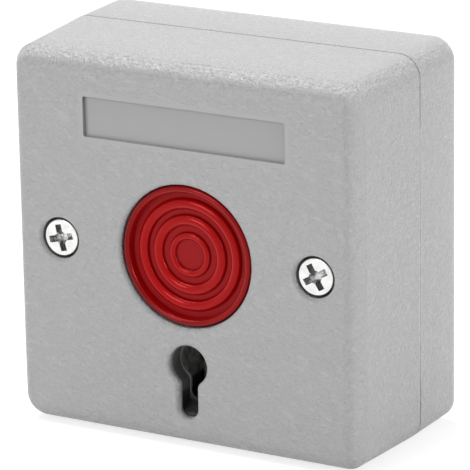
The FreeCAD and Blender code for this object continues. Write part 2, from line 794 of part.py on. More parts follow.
def mechanism_carrier():
    body = new_body("mechanism_carrier")
    plate = new_sketch(body, "plate", depth="carrier_back")
    draw_rounded(plate, "-carrier_half", "carrier_half", "carrier_bottom", "carrier_top", "carrier_corner")
    pad(body, plate, "carrier_plate")
    sleeve = disc(body, "sleeve", "carrier_front", [("0", "0")], "sleeve_bore + sleeve_wall")
    pad(body, sleeve, "cap_inside - travel - sleeve_gap - carrier_front")
    tower = new_sketch(body, "key_tower", depth="carrier_front")
    draw_rounded(tower, "-tower_half", "tower_half", "carrier_bottom", "tower_top", "tower_wall")
    pad(body, tower, "tower_front - carrier_front")

    rails = new_sketch(body, "rails", depth="keeper_front")
    inner, outer = "latch_half + latch_play", "latch_half + latch_play + rail_width"
    draw_box(rails, inner, outer, "carrier_bottom", "rail_top")
    draw_box(rails, f"-({outer})", f"-({inner})", "carrier_bottom", "rail_top")
    pad(body, rails, "carrier_back - keeper_front")
    peg = new_sketch(body, "spring_peg", depth="keeper_front")
    draw_box(peg, "-window_half + latch_play", "window_half - latch_play", "peg_top - peg_height", "peg_top")
    pad(body, peg, "carrier_back - keeper_front")

    bore = new_sketch(body, "stem_bore", depth="carrier_back")
    draw_flatted(bore, "sleeve_bore", "stem_half_flat + stem_fit")
    cut(body, bore, "cap_inside - carrier_back", forwards=True)
    chamber = new_sketch(body, "key_chamber", depth="carrier_back")
    inside = "tower_half - tower_side"
    draw_box(chamber, f"-({inside})", inside, "carrier_bottom + tower_wall", "tower_top - tower_wall")
    cut(body, chamber, "keyway_back - carrier_back", forwards=True)
    cut_keyway(body, "keyway", "0", "tower_front - keyway_back - key_ledge_depth")
    cut_keyway(body, "keyway_throat", "key_ledge", "tower_front - keyway_back")
    soften(body, "keyway_neck", "key_neck_round", at_neck)
    lead = new_sketch(body, "keyway_lead", "YZ_Plane")
    draw_outline(lead, [
        ("-tower_front", "key_slot_end + key_round"), ("-keyway_back - key_ledge_depth", "keyway_end"),
        ("-keyway_back - key_ledge_depth", "key_centre"), ("-tower_front", "key_centre"),
    ])
    cut_both(body, lead, "key_slot_half * 2")
    holes = disc(body, "carrier_holes", "carrier_front", CARRIER_SCREWS, "small_hole")
    cut(body, holes, "carrier_plate")
    pilots = disc(body, "keeper_pilots", "keeper_front", KEEPER_SCREWS, "tiny_hole")
    cut(body, pilots, "keeper_screw_length", forwards=True)
    return body


def latch_slider():
    """Flat slide with a nose for the stem's notch, a spring window and a ramp for the key."""
    body = new_body("latch_slider")
    plate = new_sketch(body, "slide", depth="latch_back")
    draw_outline(plate, [
        ("-latch_half", "latch_tail"), ("latch_half", "latch_tail"),
        ("latch_half", "nose_tip - nose_length"), ("nose_half", "nose_tip - nose_length / 2"),
        ("nose_half", "nose_tip"), ("-nose_half", "nose_tip"),
        ("-nose_half", "nose_tip - nose_length / 2"), ("-latch_half", "nose_tip - nose_length"),
    ])
    pad(body, plate, "latch_thickness")
    ramp = new_sketch(body, "ramp", "YZ_Plane")
    draw_outline(ramp, [
        ("-latch_front", "ramp_start"), ("-latch_front", "latch_tail"),
        ("-latch_front - ramp_height", "latch_tail"),
        ("-latch_front - ramp_height", "latch_tail + ramp_land"),
    ])
    pad_both(body, ramp, "ramp_half * 2")
    window = new_sketch(body, "spring_window", depth="latch_front")
    draw_box(window, "-window_half", "window_half", "peg_top - peg_height - notch_depth - nose_gap",
             "window_top")
    cut(body, window, "latch_thickness")
    return body


def latch_keeper():
    body = new_body("latch_keeper")
    plate = new_sketch(body, "keeper_plate", depth="keeper_back")
    half = "latch_half + latch_play + rail_width"
    draw_rounded(plate, f"-({half})", half, "carrier_bottom", "nose_tip - nose_gap", "tower_wall")
    pad(body, plate, "keeper_thickness")
    holes = disc(body, "keeper_holes", "keeper_front", KEEPER_SCREWS, "tiny_hole")
    cut(body, holes, "keeper_thickness")
    return body


# Screws and inserts

def cover_screw(label, side, turn):
    """Pan head screw with a cross recess. Its own axis is X = Z = 0 until it is placed."""
    body = new_body(label)
    profile = new_sketch(body, f"{label}_profile", "XY_Plane", turned=True)
    draw_outline(profile, [
        ("0", "screw_tip"), ("screw_radius - screw_lead", "screw_tip"),
        ("screw_radius", "screw_tip + screw_lead"),
        ("screw_radius", "well_floor"), ("head_radius", "well_floor"),
        ("head_radius", "head_top - head_crown - head_edge"),
        ("head_radius - head_edge", "head_top - head_crown", "-head_edge * (1 - sqrt(0.5))"),
        ("0", "head_top", "-head_crown / 4"),
    ])
    revolve(body, profile)
    cross = new_sketch(body, f"{label}_cross", depth="head_top")
    arm, half = "recess_reach", "recess_half"
    quarter = [(half, arm), (f"-{half}", arm), (f"-{half}", half)]
    points = []
    for step in range(4):
        points += quarter
        quarter = [(f"-({up})", across) for across, up in quarter]
    draw_outline(cross, points)
    cut(body, cross, "recess_depth", taper="-recess_draft")
    eye = disc(body, f"{label}_eye", "head_top", [("0", "0")], "recess_eye")
    cut(body, eye, "recess_eye_depth", taper="-recess_eye_draft")
    body.Placement = FreeCAD.Placement(Vector(), FreeCAD.Rotation(Vector(0, -1, 0), value(turn)))
    bind(body, "Placement.Base.x", side)
    document.recompute()
    return body


def insert(label, side):
    """Knurled nut insert: a bush with two grooves round it."""
    body = new_body(label)
    profile = new_sketch(body, f"{label}_profile", "XY_Plane", turned=True)
    inside, bands = "screw_radius + thread_play", 5
    points = [(inside, "box_depth - insert_length")]
    for band in range(bands):
        radius = "insert_radius - insert_groove" if band % 2 else "insert_radius"
        for edge in (band, band + 1):
            points.append((radius, f"box_depth - insert_length * {bands - edge} / {bands}"))
    points.append((inside, "box_depth"))
    draw_outline(profile, points)
    revolve(body, profile)
    bind(body, "Placement.Base.x", side)
    document.recompute()
    return body


def slotted_screws(label, spots, seat, size, length, heads_out):
    """A group of like screws on one seat, with their heads towards the room or the wall."""
    pieces = []
    head_sign, tip_sign = ("+", "-") if heads_out else ("-", "+")
    head = f"{seat} {head_sign} {size}_head_height"
    tip = f"{seat} {tip_sign} {length}"
    for number, (across, up) in enumerate(spots, 1):
        body = new_body(f"{label}_{number}")
        profile = new_sketch(body, f"{label}_{number}_profile", "XY_Plane", turned=True)
        draw_outline(profile, [
            ("0", tip), (f"{size}_screw_radius", tip), (f"{size}_screw_radius", seat),
            (f"{size}_head_radius", seat), (f"{size}_head_radius", head), ("0", head),
        ])
        revolve(body, profile)
        slot = new_sketch(body, f"{label}_{number}_slot", depth=head)
        past = f"{size}_head_radius + cut_past"
        draw_box(slot, f"-({past})", past, "-slot_width / 2", "slot_width / 2")
        cut(body, slot, f"{size}_head_height * slot_share", forwards=not heads_out)
        bind(body, "Placement.Base.x", across)
        bind(body, "Placement.Base.z", up)
        pieces.append(body)
    group = document.addObject("Part::Compound", label)
    group.Links = pieces
    group.Label = label
    document.recompute()
    return group


# Contact block

def switch_housing():
    body = new_body("switch_housing")
    outline = new_sketch(body, "switch_outline", depth="board_front")
    draw_box(outline, "-switch_half_x", "switch_half_x", "-switch_half_z", "switch_half_z")
    pad(body, outline, "lid_back - board_front")
    hollow = new_sketch(body, "switch_hollow", depth="lid_back")
    draw_box(hollow, "-switch_half_x + switch_wall", "switch_half_x - switch_wall",
             "-switch_half_z + switch_wall", "switch_half_z - switch_wall")
    cut(body, hollow, "lid_back - switch_floor")
    slots = new_sketch(body, "contact_slots", depth="lid_back")
    draw_box(slots, "-switch_half_x - cut_past", "switch_half_x + cut_past",
             "-contact_width / 2 - clamp_play", "contact_width / 2 + clamp_play")
    cut(body, slots, "contact_thickness")
    return body


def switch_lid():
    body = new_body("switch_lid")
    plate = new_sketch(body, "lid_plate", depth="lid_back")
    draw_box(plate, "-switch_half_x", "switch_half_x", "-switch_half_z", "switch_half_z")
    draw_circle(plate, "0", "0", "plunger_radius + plunger_fit")
    pad(body, plate, "switch_lid")
    return body


def switch_plunger():
    body = new_body("switch_plunger")
    profile = new_sketch(body, "plunger_profile", "XY_Plane", turned=True)
    draw_outline(profile, [
        ("plunger_bore", "bridge_back - plunger_flange_height"),
        ("plunger_flange", "bridge_back - plunger_flange_height"), ("plunger_flange", "bridge_back"),
        ("plunger_radius", "bridge_back"), ("plunger_radius", "plunger_tip - plunger_edge"),
        ("plunger_radius - plunger_edge", "plunger_tip"), ("0", "plunger_tip"),
        ("0", "plunger_tip - plunger_roof"), ("plunger_bore", "plunger_tip - plunger_roof"),
    ])
    revolve(body, profile)
    return body


def contact_bridge():
    body = new_body("contact_bridge")
    strip = new_sketch(body, "bridge_strip", depth="bridge_back")
    draw_rounded(strip, "-bridge_half", "bridge_half", "-plunger_flange", "plunger_flange",
                 "contact_thickness")
    draw_circle(strip, "0", "0", "plunger_radius + plunger_fit")
    pad(body, strip, "contact_thickness")
    return body


def fixed_contact(label, side):
    """Strip under the lid that comes out of the block's side and goes down through the board."""
    body = new_body(label)
    profile = new_sketch(body, f"{label}_profile", "XY_Plane", turned=True)
    outside = "switch_half_x + leg_out"
    points = [
        ("contact_reach", "contact_back"), (outside, "contact_back"),
        (outside, "board_back - leg_past_board"),
        (f"{outside} + contact_thickness", "board_back - leg_past_board"),
        (f"{outside} + contact_thickness", "lid_back"), ("contact_reach", "lid_back"),
    ]
    if side == "left":
        points = [(across, depth) for across, depth in reversed(points)]
    else:
        points = [(f"-({across})", depth) for across, depth in points]
    draw_outline(profile, points)
    pad_both(body, profile, "contact_width")
    return body


# Board and terminals

def circuit_board():
    body = new_body("circuit_board")
    plate = new_sketch(body, "board_plate", depth="board_back")
    draw_rounded(plate, "-board_half", "board_half", "board_bottom", "board_top", "contact_width")
    pad(body, plate, "board_thickness")
    holes = disc(body, "board_holes", "board_front", BOARD_SCREWS, "small_hole")
    cut(body, holes, "board_thickness")
    leg = "switch_half_x + leg_out + contact_thickness / 2"
    leg_holes = disc(body, "leg_holes", "board_front", both_sides(leg), "leg_hole")
    cut(body, leg_holes, "board_thickness")
    return body


def terminal_ways():
    count = int(value("terminal_count"))
    return [f"terminal_pitch * {number - (count - 1) / 2}" for number in range(count)]


def terminal_block():
    body = new_body("terminal_block")
    block = new_sketch(body, "block", depth="board_front")
    draw_box(block, "-terminal_half", "terminal_half", "terminal_base", "terminal_base + terminal_depth")
    pad(body, block, "terminal_height")
    entries = new_sketch(body, "wire_entries", "XY_Plane", "terminal_base + terminal_depth", turned=True)
    for across in terminal_ways():
        half = "terminal_entry / 2"
        draw_box(entries, f"{across} - {half}", f"{across} + {half}", "entry_low", "entry_high")
    cut(body, entries, "terminal_entry_depth")
    wells = new_sketch(body, "clamp_wells", depth="terminal_top")
    for across in terminal_ways():
        draw_circle(wells, across, "terminal_mid", "terminal_well")
    cut(body, wells, "terminal_height - terminal_well_floor")
    return body


def terminal_clamps():
    pieces = []
    for number, across in enumerate(terminal_ways(), 1):
        body = new_body(f"clamp_{number}")
        cage = new_sketch(body, f"cage_{number}", "XY_Plane", "terminal_mid", turned=True)
        half = "terminal_entry / 2 - clamp_play"
        draw_box(cage, f"{across} - ({half})", f"{across} + ({half})", "entry_low + clamp_play", "clamp_top")
        draw_box(cage, f"{across} - ({half}) + clamp_wall", f"{across} + ({half}) - clamp_wall",
                 "entry_low + clamp_play + clamp_wall", "clamp_top - clamp_roof")
        pad_both(body, cage, "terminal_entry")
        hole = new_sketch(body, f"clamp_hole_{number}", depth="clamp_top")
        draw_circle(hole, f"-({across})", "terminal_mid", "tiny_hole")
        cut(body, hole, "clamp_roof")
        pieces.append(body)
    group = document.addObject("Part::Compound", "terminal_clamps")
    group.Links = pieces
    group.Label = "terminal_clamps"
    document.recompute()
    return group


def build():
    latch_mid = "latch_back + latch_thickness / 2"
    terminals = [(across, "terminal_mid") for across in terminal_ways()]
    return [
        front_cover(),
        back_box(),
        button_cap(),
        mechanism_carrier(),
        latch_slider(),
        latch_keeper(),
        coil_spring("return_spring", "spring_turns", "spring_radius", "spring_wire", "carrier_front",
                    "cap_inside", ("0", "0", "0"), "depth"),
        coil_spring("latch_spring", "latch_spring_turns", "latch_spring_radius", "latch_spring_wire",
                    "peg_top", "window_top", ("0", latch_mid, "0"), "up"),
        coil_spring("contact_spring", "contact_spring_turns", "contact_spring_radius",
                    "contact_spring_wire", "switch_floor", "plunger_tip - plunger_roof",
                    ("0", "0", "0"), "depth"),
        cover_screw("cover_screw_left", "-screw_offset", "screw_turn_left"),
        cover_screw("cover_screw_right", "screw_offset", "screw_turn_right"),
        insert("insert_left", "-screw_offset"),
        insert("insert_right", "screw_offset"),
        slotted_screws("carrier_screws", CARRIER_SCREWS, "carrier_back", "small",
                       "carrier_screw_length", False),
        slotted_screws("keeper_screws", KEEPER_SCREWS, "keeper_back", "tiny", "keeper_screw_length", False),
        slotted_screws("board_screws", BOARD_SCREWS, "board_front", "small", "board_screw_length", True),
        slotted_screws("terminal_screws", terminals, "clamp_top", "tiny", "clamp_screw_length", True),
        switch_housing(),
        switch_lid(),
        switch_plunger(),
        contact_bridge(),
        fixed_contact("fixed_contact_left", "left"),
        fixed_contact("fixed_contact_right", "right"),
        circuit_board(),
        terminal_block(),
        terminal_clamps(),
    ]


def check(pieces):
    for item in document.Objects:
        if "Invalid" in item.State or "Error" in item.State:
            raise RuntimeError(f"{item.Label} did not compute")
    for piece in pieces:
        if piece.Shape.isNull() or not piece.Shape.isValid():
            raise RuntimeError(f"{piece.Label} has no sound shape")


def main():
    fill_sheet()
    pieces = build()
    document.recompute()
    check(pieces)
    os.makedirs("parts", exist_ok=True)
    for piece in pieces:
        piece.Shape.exportStep(f"parts/{piece.Label}.step")
        box = piece.Shape.BoundBox
        print(f"{piece.Label}: {len(piece.Shape.Solids)} solid, {piece.Shape.Volume:.0f} mm3, "
              f"{box.XLength:.1f} x {box.YLength:.1f} x {box.ZLength:.1f}")


main()
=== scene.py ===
"""The panic alarm as a photograph shows it: grained grey shells, a red button, a white floor.

Metres. The wall is the plane Y = 0, the face looks along -Y and +Z is up, as in the CAD frame.
A "depth" is a distance from the wall. A "share" runs from 0 to 1.
"""
import math

import bmesh
import bpy
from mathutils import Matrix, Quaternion, Vector


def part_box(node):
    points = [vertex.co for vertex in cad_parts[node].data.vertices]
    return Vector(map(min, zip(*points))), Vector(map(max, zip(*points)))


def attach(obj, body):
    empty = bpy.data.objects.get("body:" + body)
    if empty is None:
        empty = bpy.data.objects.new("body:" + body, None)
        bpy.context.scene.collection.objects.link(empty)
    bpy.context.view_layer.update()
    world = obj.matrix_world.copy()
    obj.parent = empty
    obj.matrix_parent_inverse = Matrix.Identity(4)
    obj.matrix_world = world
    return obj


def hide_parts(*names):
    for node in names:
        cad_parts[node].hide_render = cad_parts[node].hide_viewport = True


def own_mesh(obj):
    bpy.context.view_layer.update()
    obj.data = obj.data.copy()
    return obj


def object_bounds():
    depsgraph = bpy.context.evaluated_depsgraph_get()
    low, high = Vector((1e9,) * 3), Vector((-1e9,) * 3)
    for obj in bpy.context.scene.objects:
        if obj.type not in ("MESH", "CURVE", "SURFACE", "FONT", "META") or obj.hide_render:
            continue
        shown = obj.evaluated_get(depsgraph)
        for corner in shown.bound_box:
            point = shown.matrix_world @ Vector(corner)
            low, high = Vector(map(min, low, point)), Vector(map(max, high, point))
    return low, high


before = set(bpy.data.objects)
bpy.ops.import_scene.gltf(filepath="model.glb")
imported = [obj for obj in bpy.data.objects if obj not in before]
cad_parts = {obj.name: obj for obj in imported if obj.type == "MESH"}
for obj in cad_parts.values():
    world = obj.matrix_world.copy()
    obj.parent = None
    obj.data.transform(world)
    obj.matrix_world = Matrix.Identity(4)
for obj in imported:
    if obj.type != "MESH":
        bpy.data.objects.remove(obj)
cad_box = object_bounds()

MM = 0.001

# Camera: the angles, place and focal length that fit the photograph's outline
AZIMUTH = math.radians(29.518)
ELEVATION = math.radians(17.407)
ROLL = math.radians(-1.0)
CAMERA_PLACE = (377.40 * MM, -686.38 * MM, 239.06 * MM)
FOCAL_LENGTH = 284.34
SENSOR = 36.0
CLIP_NEAR, CLIP_FAR = 0.01, 20.0

# Light: the world's, and square area lamps that look at the origin
WORLD_LIGHT = 0.24
LAMPS = {
    "overhead": dict(place=(-0.35, 0.05, 1.1), side=0.8, power=12.8),
    "front": dict(place=(-0.22, -0.95, 0.49), side=0.45, power=3.45),
    "right": dict(place=(1.1, -0.15, 0.4), side=0.4, power=5.5),
    "rear": dict(place=(0.36, 1.0, 0.56), side=0.15, power=1.6),
}

# Floor: pale paper for the light that it throws back. The camera sees a fainter paper with a glow
# of its own, which grows to plain white over the distances of FLOOR_FADE from the object
FLOOR_SIDE = 6.0
FLOOR_PAPER = 0.8
FLOOR_SEEN = 0.4
FLOOR_GLOW_NEAR, FLOOR_GLOW_FAR = 0.75, 1.0
FLOOR_FADE = (0.3, 0.7)

# Colours, linear
GREY = (0.42, 0.42, 0.422)
# painted shade in the grain's creases
GREY_CREASE = (0.27, 0.27, 0.273)
GREY_SHADE = (0.09, 0.09, 0.09)
# painted light: on the grain's flecks, towards the wall and at the back edge
GREY_PAINTED_LIGHT = (0.60, 0.60, 0.605)
# painted light along the right side's seam
GREY_SEAM_LIGHT = (0.85, 0.85, 0.85)
RED_RIDGE = (0.35, 0.0, 0.001)
RED_FLAT = (0.29, 0.008, 0.010)
RED_RIM = (0.24, 0.002, 0.003)
RED_RIM_SHADE = (0.10, 0.0, 0.001)
# painted shade at the foot of the button's ridges
RED_FOOT_SHADE = (0.17, 0.0, 0.0)
RED_GLOSS = (1.0, 0.15, 0.15)
NICKEL = (0.80, 0.798, 0.79)
NICKEL_DULL = (0.68, 0.678, 0.67)
# painted shade in the screws' cross recess, then their painted glint
RECESS_SHADE = (0.15, 0.15, 0.152)
GLINT_WHITE = (0.95, 0.95, 0.95)
GUIDE_BLACK = (0.125, 0.125, 0.126)
GUIDE_DARK = (0.06, 0.06, 0.06)
# painted light behind the keyway's ledge
GUIDE_PAINTED_LIGHT = (0.60, 0.60, 0.605)
# painted highlight along the keyway's ledge
GUIDE_LEDGE_HIGHLIGHT = (0.20, 0.20, 0.203)
FOOT_BLACK = (0.012, 0.012, 0.012)
FOOT_SCUFF = (0.038, 0.038, 0.039)
BLACK = (0.026, 0.026, 0.027)
NATURAL = (0.72, 0.71, 0.66)
GREEN = (0.02, 0.18, 0.06)
BRASS = (0.68, 0.46, 0.17)
ZINC = (0.60, 0.62, 0.66)
SPRING = (0.42, 0.42, 0.43)
LAMINATE = (0.012, 0.11, 0.045)
TRACK = (0.03, 0.22, 0.09)

# Places that the looks depend on, as in the part's source
FACE_DEPTH = 41.5 * MM
FLAT_DEPTH = 39.1 * MM
HEAD_TOP = 41.2 * MM
LEDGE_FRONT = 36.7 * MM
SEAM_DEPTH = 16.125 * MM
CORNER_CENTRE = 37.0 * MM  # of the shells' rounded corners, from the middle
SCREW_OFFSET = 31.0 * MM
WELL_RADIUS = 4.6 * MM
APERTURE_RADIUS = 15.8 * MM
KEY_CENTRE = -24.4 * MM
KEY_RADIUS = 4.5 * MM
KEY_SLOT_HALF = 2.4 * MM
KEY_SLOT_LOW = -33.8 * MM
RIM_FOOT = 13.9 * MM
RIDGE_FEET = [3.375 * MM, 5.025 * MM, 6.45 * MM, 8.95 * MM, 10.05 * MM, 12.55 * MM]
LABEL_CENTRE = 28.0 * MM
LABEL_HALF_WIDTH = 24.4 * MM
LABEL_HALF_HEIGHT = 4.45 * MM
LABEL_BORDER = 1.0 * MM

# Bands over which a share of the shells' look goes from 0 to 1, most of them depths
ON_SIDE = (4.4 * MM, 4.8 * MM)  # past the corner's centre
ON_FACE = (FACE_DEPTH - 1.55 * MM, FACE_DEPTH - 1.35 * MM)
OFF_WALL = (0.1 * MM, 0.5 * MM)
OFF_LABEL = (LABEL_BORDER * 0.8, LABEL_BORDER * 1.2)  # past the label's edge
BEHIND_LABEL = (39.0 * MM, 38.0 * MM)
NEAR_FACE = (30.0 * MM, 31.0 * MM)
IN_OPENING = (FACE_DEPTH - 0.25 * MM, FACE_DEPTH - 0.75 * MM)
IN_LABEL = (FACE_DEPTH - 0.1 * MM, FACE_DEPTH - 0.3 * MM)
ON_ENDS = (42.0 * MM, 42.4 * MM)  # the top and the bottom side, from the middle
REARWARD = (16.0 * MM, 0.0)
BACK_EDGE = (1.6 * MM, 0.2 * MM)

# Grain of the shells: the height's parts and how strong it stands in each place
GRAIN_DEPTH = 0.20 * MM
GRAIN_MEAN = 1.30  # of the grain's height, so that smooth places lie at its middle
FOLD_SHARE, SMALL_FOLD_SHARE = 0.28, 0.25
PEBBLE_SHARE, FINE_SHARE, FLECK_SHARE = 1.7, 0.15, 0.22
WORM_SHARE = 0.7  # of a fleck
DASH_TURN = math.radians(-14)
DASH_STRETCH = (0.42, 0.9, 1.0)
SMOOTH_STRENGTH = 0.03
FRONT_STRENGTH, SIDE_STRENGTH = 1.1, 0.8
CURVE_STRENGTH = 1.5  # on the curves to the top and the bottom side
ENDS_STRENGTH = 0.42  # of that, on those sides
ROLL_OFF = 6.5  # how far the grain's skin rolls off at the face's edge, in grain depths
ROLL_WIDTH = 4.4 * MM

# Painted shades and painted light on the shells, and the polish of the grain's crests
LIP_REACH = 1.1 * MM
LIP_SHADE = 0.5
LIP_LOW_LEFT = (-0.8, -0.6)
OPENING_SHADE = 0.65
GAP_SHADE = 0.3
SEAM_SHADE = 0.24
SEAM_SIDE_SHADE = 0.35  # of the seam's shade, on the right side
# Painted highlights on the grain's flecks, painted light towards the wall and at the back edge, and
# painted light along the right side's seam
FLECK_HIGHLIGHT = 0.16
REAR_PAINTED_LIGHT = 0.25
BACK_EDGE_PAINTED_LIGHT = 0.6
SEAM_LIGHT_PALE = 0.14
WORM_POLISH = 0.26

# The button: how rough, how dark its painted shade at the ridges' feet is, and which way its rim's
# painted shade looks
RIDGE_ROUGH, FLAT_ROUGH, HAZE_ROUGH = 0.15, 0.60, 0.08
FOOT_LINE_SHADE = 0.85
RIM_SHADE = (0.2, 0.85)  # from the rim's inside to its outside
RIM_LOW_LEFT = (-0.85, -0.53)
FROST_DEPTH = 0.02 * MM
FROST_STRENGTH = 0.6

# The carrier round the keyway
FOOT_TOP = (-30.4 * MM, -31.2 * MM)
LEDGE_FOOT = (-33.4 * MM, -31.5 * MM)
LEDGE_CENTRE = 27.0 * MM  # below the middle
LEDGE_REACH = (8.0 * MM, 9.0 * MM)

# The cover screws' cross recess, which the light reaches on one side only: painted shade on the
# other side, and a painted glint
RECESS_RADIUS = (3.15 * MM, 3.3 * MM)
RECESS_LEFTWARD = (-0.85, 0.0, 0.2)
RECESS_FAR_SIDE = (1.0 * MM, 1.2 * MM)
GLINT_DROP = 0.15 * MM
GLINT_RADIUS = (0.55 * MM, 0.85 * MM)
GLINT_METALLIC = 0.15

# Reliefs of the plainer looks, and the board's pattern
PLASTIC_RELIEF = 0.012 * MM
METAL_RELIEF = 0.006 * MM
COPPER_RELIEF = 0.035 * MM
CELL_SIZE = 5.0 * MM
TRACK_EDGE = (0.04, 0.07)

# Springs: the coils' wire, the CAD node that each stands for, and the joint, travel and held end
# given for each
WIRE_GRIND = 0.1  # share of a spring's wire ground off each end
WIRE_SIDES = 14
TURN_STEPS = 48
SHARP_ANGLE = math.radians(40)
PRESS = 4.0 * MM  # travel of the button, and of the plunger with it
RELEASE = 2.0 * MM  # travel of the latch
Y_AXIS, Z_AXIS = 1, 2
LOW_END, HIGH_END = 0, 1
SPRINGS = {
    "return_coil": dict(node="return_spring", joint="button_press", travel=PRESS,
                        axis=Y_AXIS, held_end=HIGH_END, wire=0.9 * MM, turns=4.5),
    "contact_coil": dict(node="contact_spring", joint="plunger_slide", travel=PRESS,
                         axis=Y_AXIS, held_end=HIGH_END, wire=0.3 * MM, turns=8.5),
    "latch_coil": dict(node="latch_spring", joint="latch_slide", travel=RELEASE,
                       axis=Z_AXIS, held_end=LOW_END, wire=0.3 * MM, turns=8.5),
}


def with_alpha(given):
    """A colour as a colour socket takes it, and anything else as it is."""
    return (*given, 1.0) if isinstance(given, tuple) and len(given) == 3 else given


class Look:
    """A material in the making, with short calls that add nodes and hand back their outputs."""

    def __init__(self, name):
        self.material = bpy.data.materials.new(name)
        self.material.use_nodes = True
        self.tree = self.material.node_tree
        self.tree.nodes.clear()
        output = self.tree.nodes.new("ShaderNodeOutputMaterial")
        self.shader = self.tree.nodes.new("ShaderNodeBsdfPrincipled")
        self.tree.links.new(self.shader.outputs[0], output.inputs[0])
        self.place = self.tree.nodes.new("ShaderNodeTexCoord").outputs["Object"]

    def node(self, kind, inputs=None, **settings):
        node = self.tree.nodes.new(f"ShaderNode{kind}")
        for name, setting in settings.items():
            setattr(node, name, setting)
        for name, given in (inputs or {}).items():
            self.feed(node.inputs[name], given)
        return node

    def feed(self, socket, given):
        if isinstance(given, bpy.types.NodeSocket):
            self.tree.links.new(given, socket)
        else:
            socket.default_value = given

    def set(self, **inputs):
        for name, given in inputs.items():
            self.feed(self.shader.inputs[name.replace("_", " ")], with_alpha(given))

    def axes(self):
        return self.node("SeparateXYZ", {0: self.place}).outputs

    def true_normal(self):
        return self.node("NewGeometry").outputs["True Normal"]

    # Arithmetic

    def math(self, operation, first, second=0.0):
        return self.node("Math", {0: first, 1: second}, operation=operation).outputs[0]

    def chain(self, operation, parts):
        total = parts[0]
        for part in parts[1:]:
            total = self.math(operation, total, part)
        return total

    def plus(self, *parts):
        return self.chain("ADD", parts)

    def minus(self, first, second):
        return self.math("SUBTRACT", first, second)

    def times(self, *parts):
        return self.chain("MULTIPLY", parts)

    def most(self, *parts):
        return self.chain("MAXIMUM", parts)

    def magnitude(self, given):
        return self.math("ABSOLUTE", given)

    def distance(self, first, second):
        return self.magnitude(self.minus(first, second))

    def length(self, first, second):
        return self.math("SQRT", self.plus(self.times(first, first), self.times(second, second)))

    # Of shares: the first is 1 where all of them are, the second where any of them is
    all_of = times
    any_of = most

    def spread(self, given, low, high, out_low=0.0, out_high=1.0, smooth=False):
        inputs = {0: given, 1: low, 2: high, 3: out_low, 4: out_high}
        kind = "SMOOTHSTEP" if smooth else "LINEAR"
        return self.node("MapRange", inputs, interpolation_type=kind).outputs[0]

    def inside(self, given, low, high, peak=1.0, smooth=False):
        """The peak up to low, falling to 0 at high."""
        return self.spread(given, low, high, peak, 0.0, smooth)

    # Patterns

    def noise(self, size, detail=2.0, roughness=0.5, distortion=0.0, place=None):
        """Noise whose blobs are about size across."""
        inputs = {"Vector": place or self.place, "Scale": 1 / size, "Detail": detail,
                  "Roughness": roughness, "Distortion": distortion}
        return self.node("TexNoise", inputs).outputs[0]

    def wrinkles(self, size, distortion, width, place=None):
        """0 in the bottom of worm-like folds, 1 between them."""
        noise = self.noise(size, detail=1.5, roughness=0.45, distortion=distortion, place=place)
        return self.spread(self.distance(noise, 0.5), 0.0, width, smooth=True)

    def warped(self, size, amount):
        """The place, pushed about by noise."""
        noise = self.node("TexNoise", {"Vector": self.place, "Scale": 1 / size, "Detail": 2.0})
        shift = self.node("VectorMath", {0: noise.outputs[1], 1: (0.5, 0.5, 0.5)},
                          operation="SUBTRACT")
        scaled = self.node("VectorMath", {0: shift.outputs[0], "Scale": amount},
                           operation="SCALE")
        return self.node("VectorMath", {0: self.place, 1: scaled.outputs[0]},
                         operation="ADD").outputs[0]

    def blend(self, share, first, second):
        """First colour where share is 0, second where it is 1."""
        node = self.node("Mix", data_type="RGBA")
        for socket, given in zip((node.inputs[0], node.inputs[6], node.inputs[7]),
                                 (share, first, second)):
            self.feed(socket, with_alpha(given))
        return node.outputs[2]

    def relief(self, height, depth, strength=1.0):
        bump = self.node("Bump", {"Height": height, "Distance": depth, "Strength": strength})
        self.set(Normal=bump.outputs[0])


# The two grey shells

class ShellLook(Look):
    """A look with the places on the shells that its parts ask for."""

    def __init__(self, name):
        super().__init__(name)
        self.x, y, self.z = self.axes()
        self.depth = self.times(y, -1.0)
        self.wide, self.high = self.magnitude(self.x), self.magnitude(self.z)
        self.past_x = self.most(self.minus(self.wide, CORNER_CENTRE), 0.0)
        self.past_z = self.most(self.minus(self.high, CORNER_CENTRE), 0.0)
        above_label = self.distance(self.z, LABEL_CENTRE)
        self.beyond_label = self.most(self.minus(self.wide, LABEL_HALF_WIDTH),
                                      self.minus(above_label, LABEL_HALF_HEIGHT))
        self.off_seam = self.distance(self.depth, SEAM_DEPTH)
        self.near_face = self.spread(self.depth, *NEAR_FACE)


def where_grained(look):
    """Share of grain: none in the openings, on the label recess and its border, and by the wall."""
    on_side = look.spread(look.length(look.past_x, look.past_z), *ON_SIDE)
    on_face = look.spread(look.depth, *ON_FACE)
    off_label = look.spread(look.beyond_label, *OFF_LABEL, smooth=True)
    behind_label = look.spread(look.depth, *BEHIND_LABEL)
    return look.all_of(look.any_of(on_side, on_face), look.any_of(off_label, behind_label),
                       look.spread(look.depth, *OFF_WALL))


def worm_crests(look):
    """Share of the thin, broken crests between the grain's pebbles."""
    crest = look.distance(look.noise(1.5 * MM, detail=1.0, roughness=0.4, distortion=0.8), 0.5)
    broken = look.spread(look.noise(1.1 * MM, detail=1.0), 0.50, 0.58)
    return look.times(look.inside(crest, 0.02, 0.08), broken)


def drawn_dashes(look):
    """Share of the short dashes that run across the face, down to the right."""
    turned = look.node("VectorRotate", {"Vector": look.place, "Angle": DASH_TURN},
                       rotation_type="Y_AXIS")
    drawn = look.node("VectorMath", {0: turned.outputs[0], 1: DASH_STRETCH},
                      operation="MULTIPLY").outputs[0]
    streaks = look.noise(0.9 * MM, detail=1.0, distortion=0.3, place=drawn)
    return look.spread(streaks, 0.55, 0.68, smooth=True)


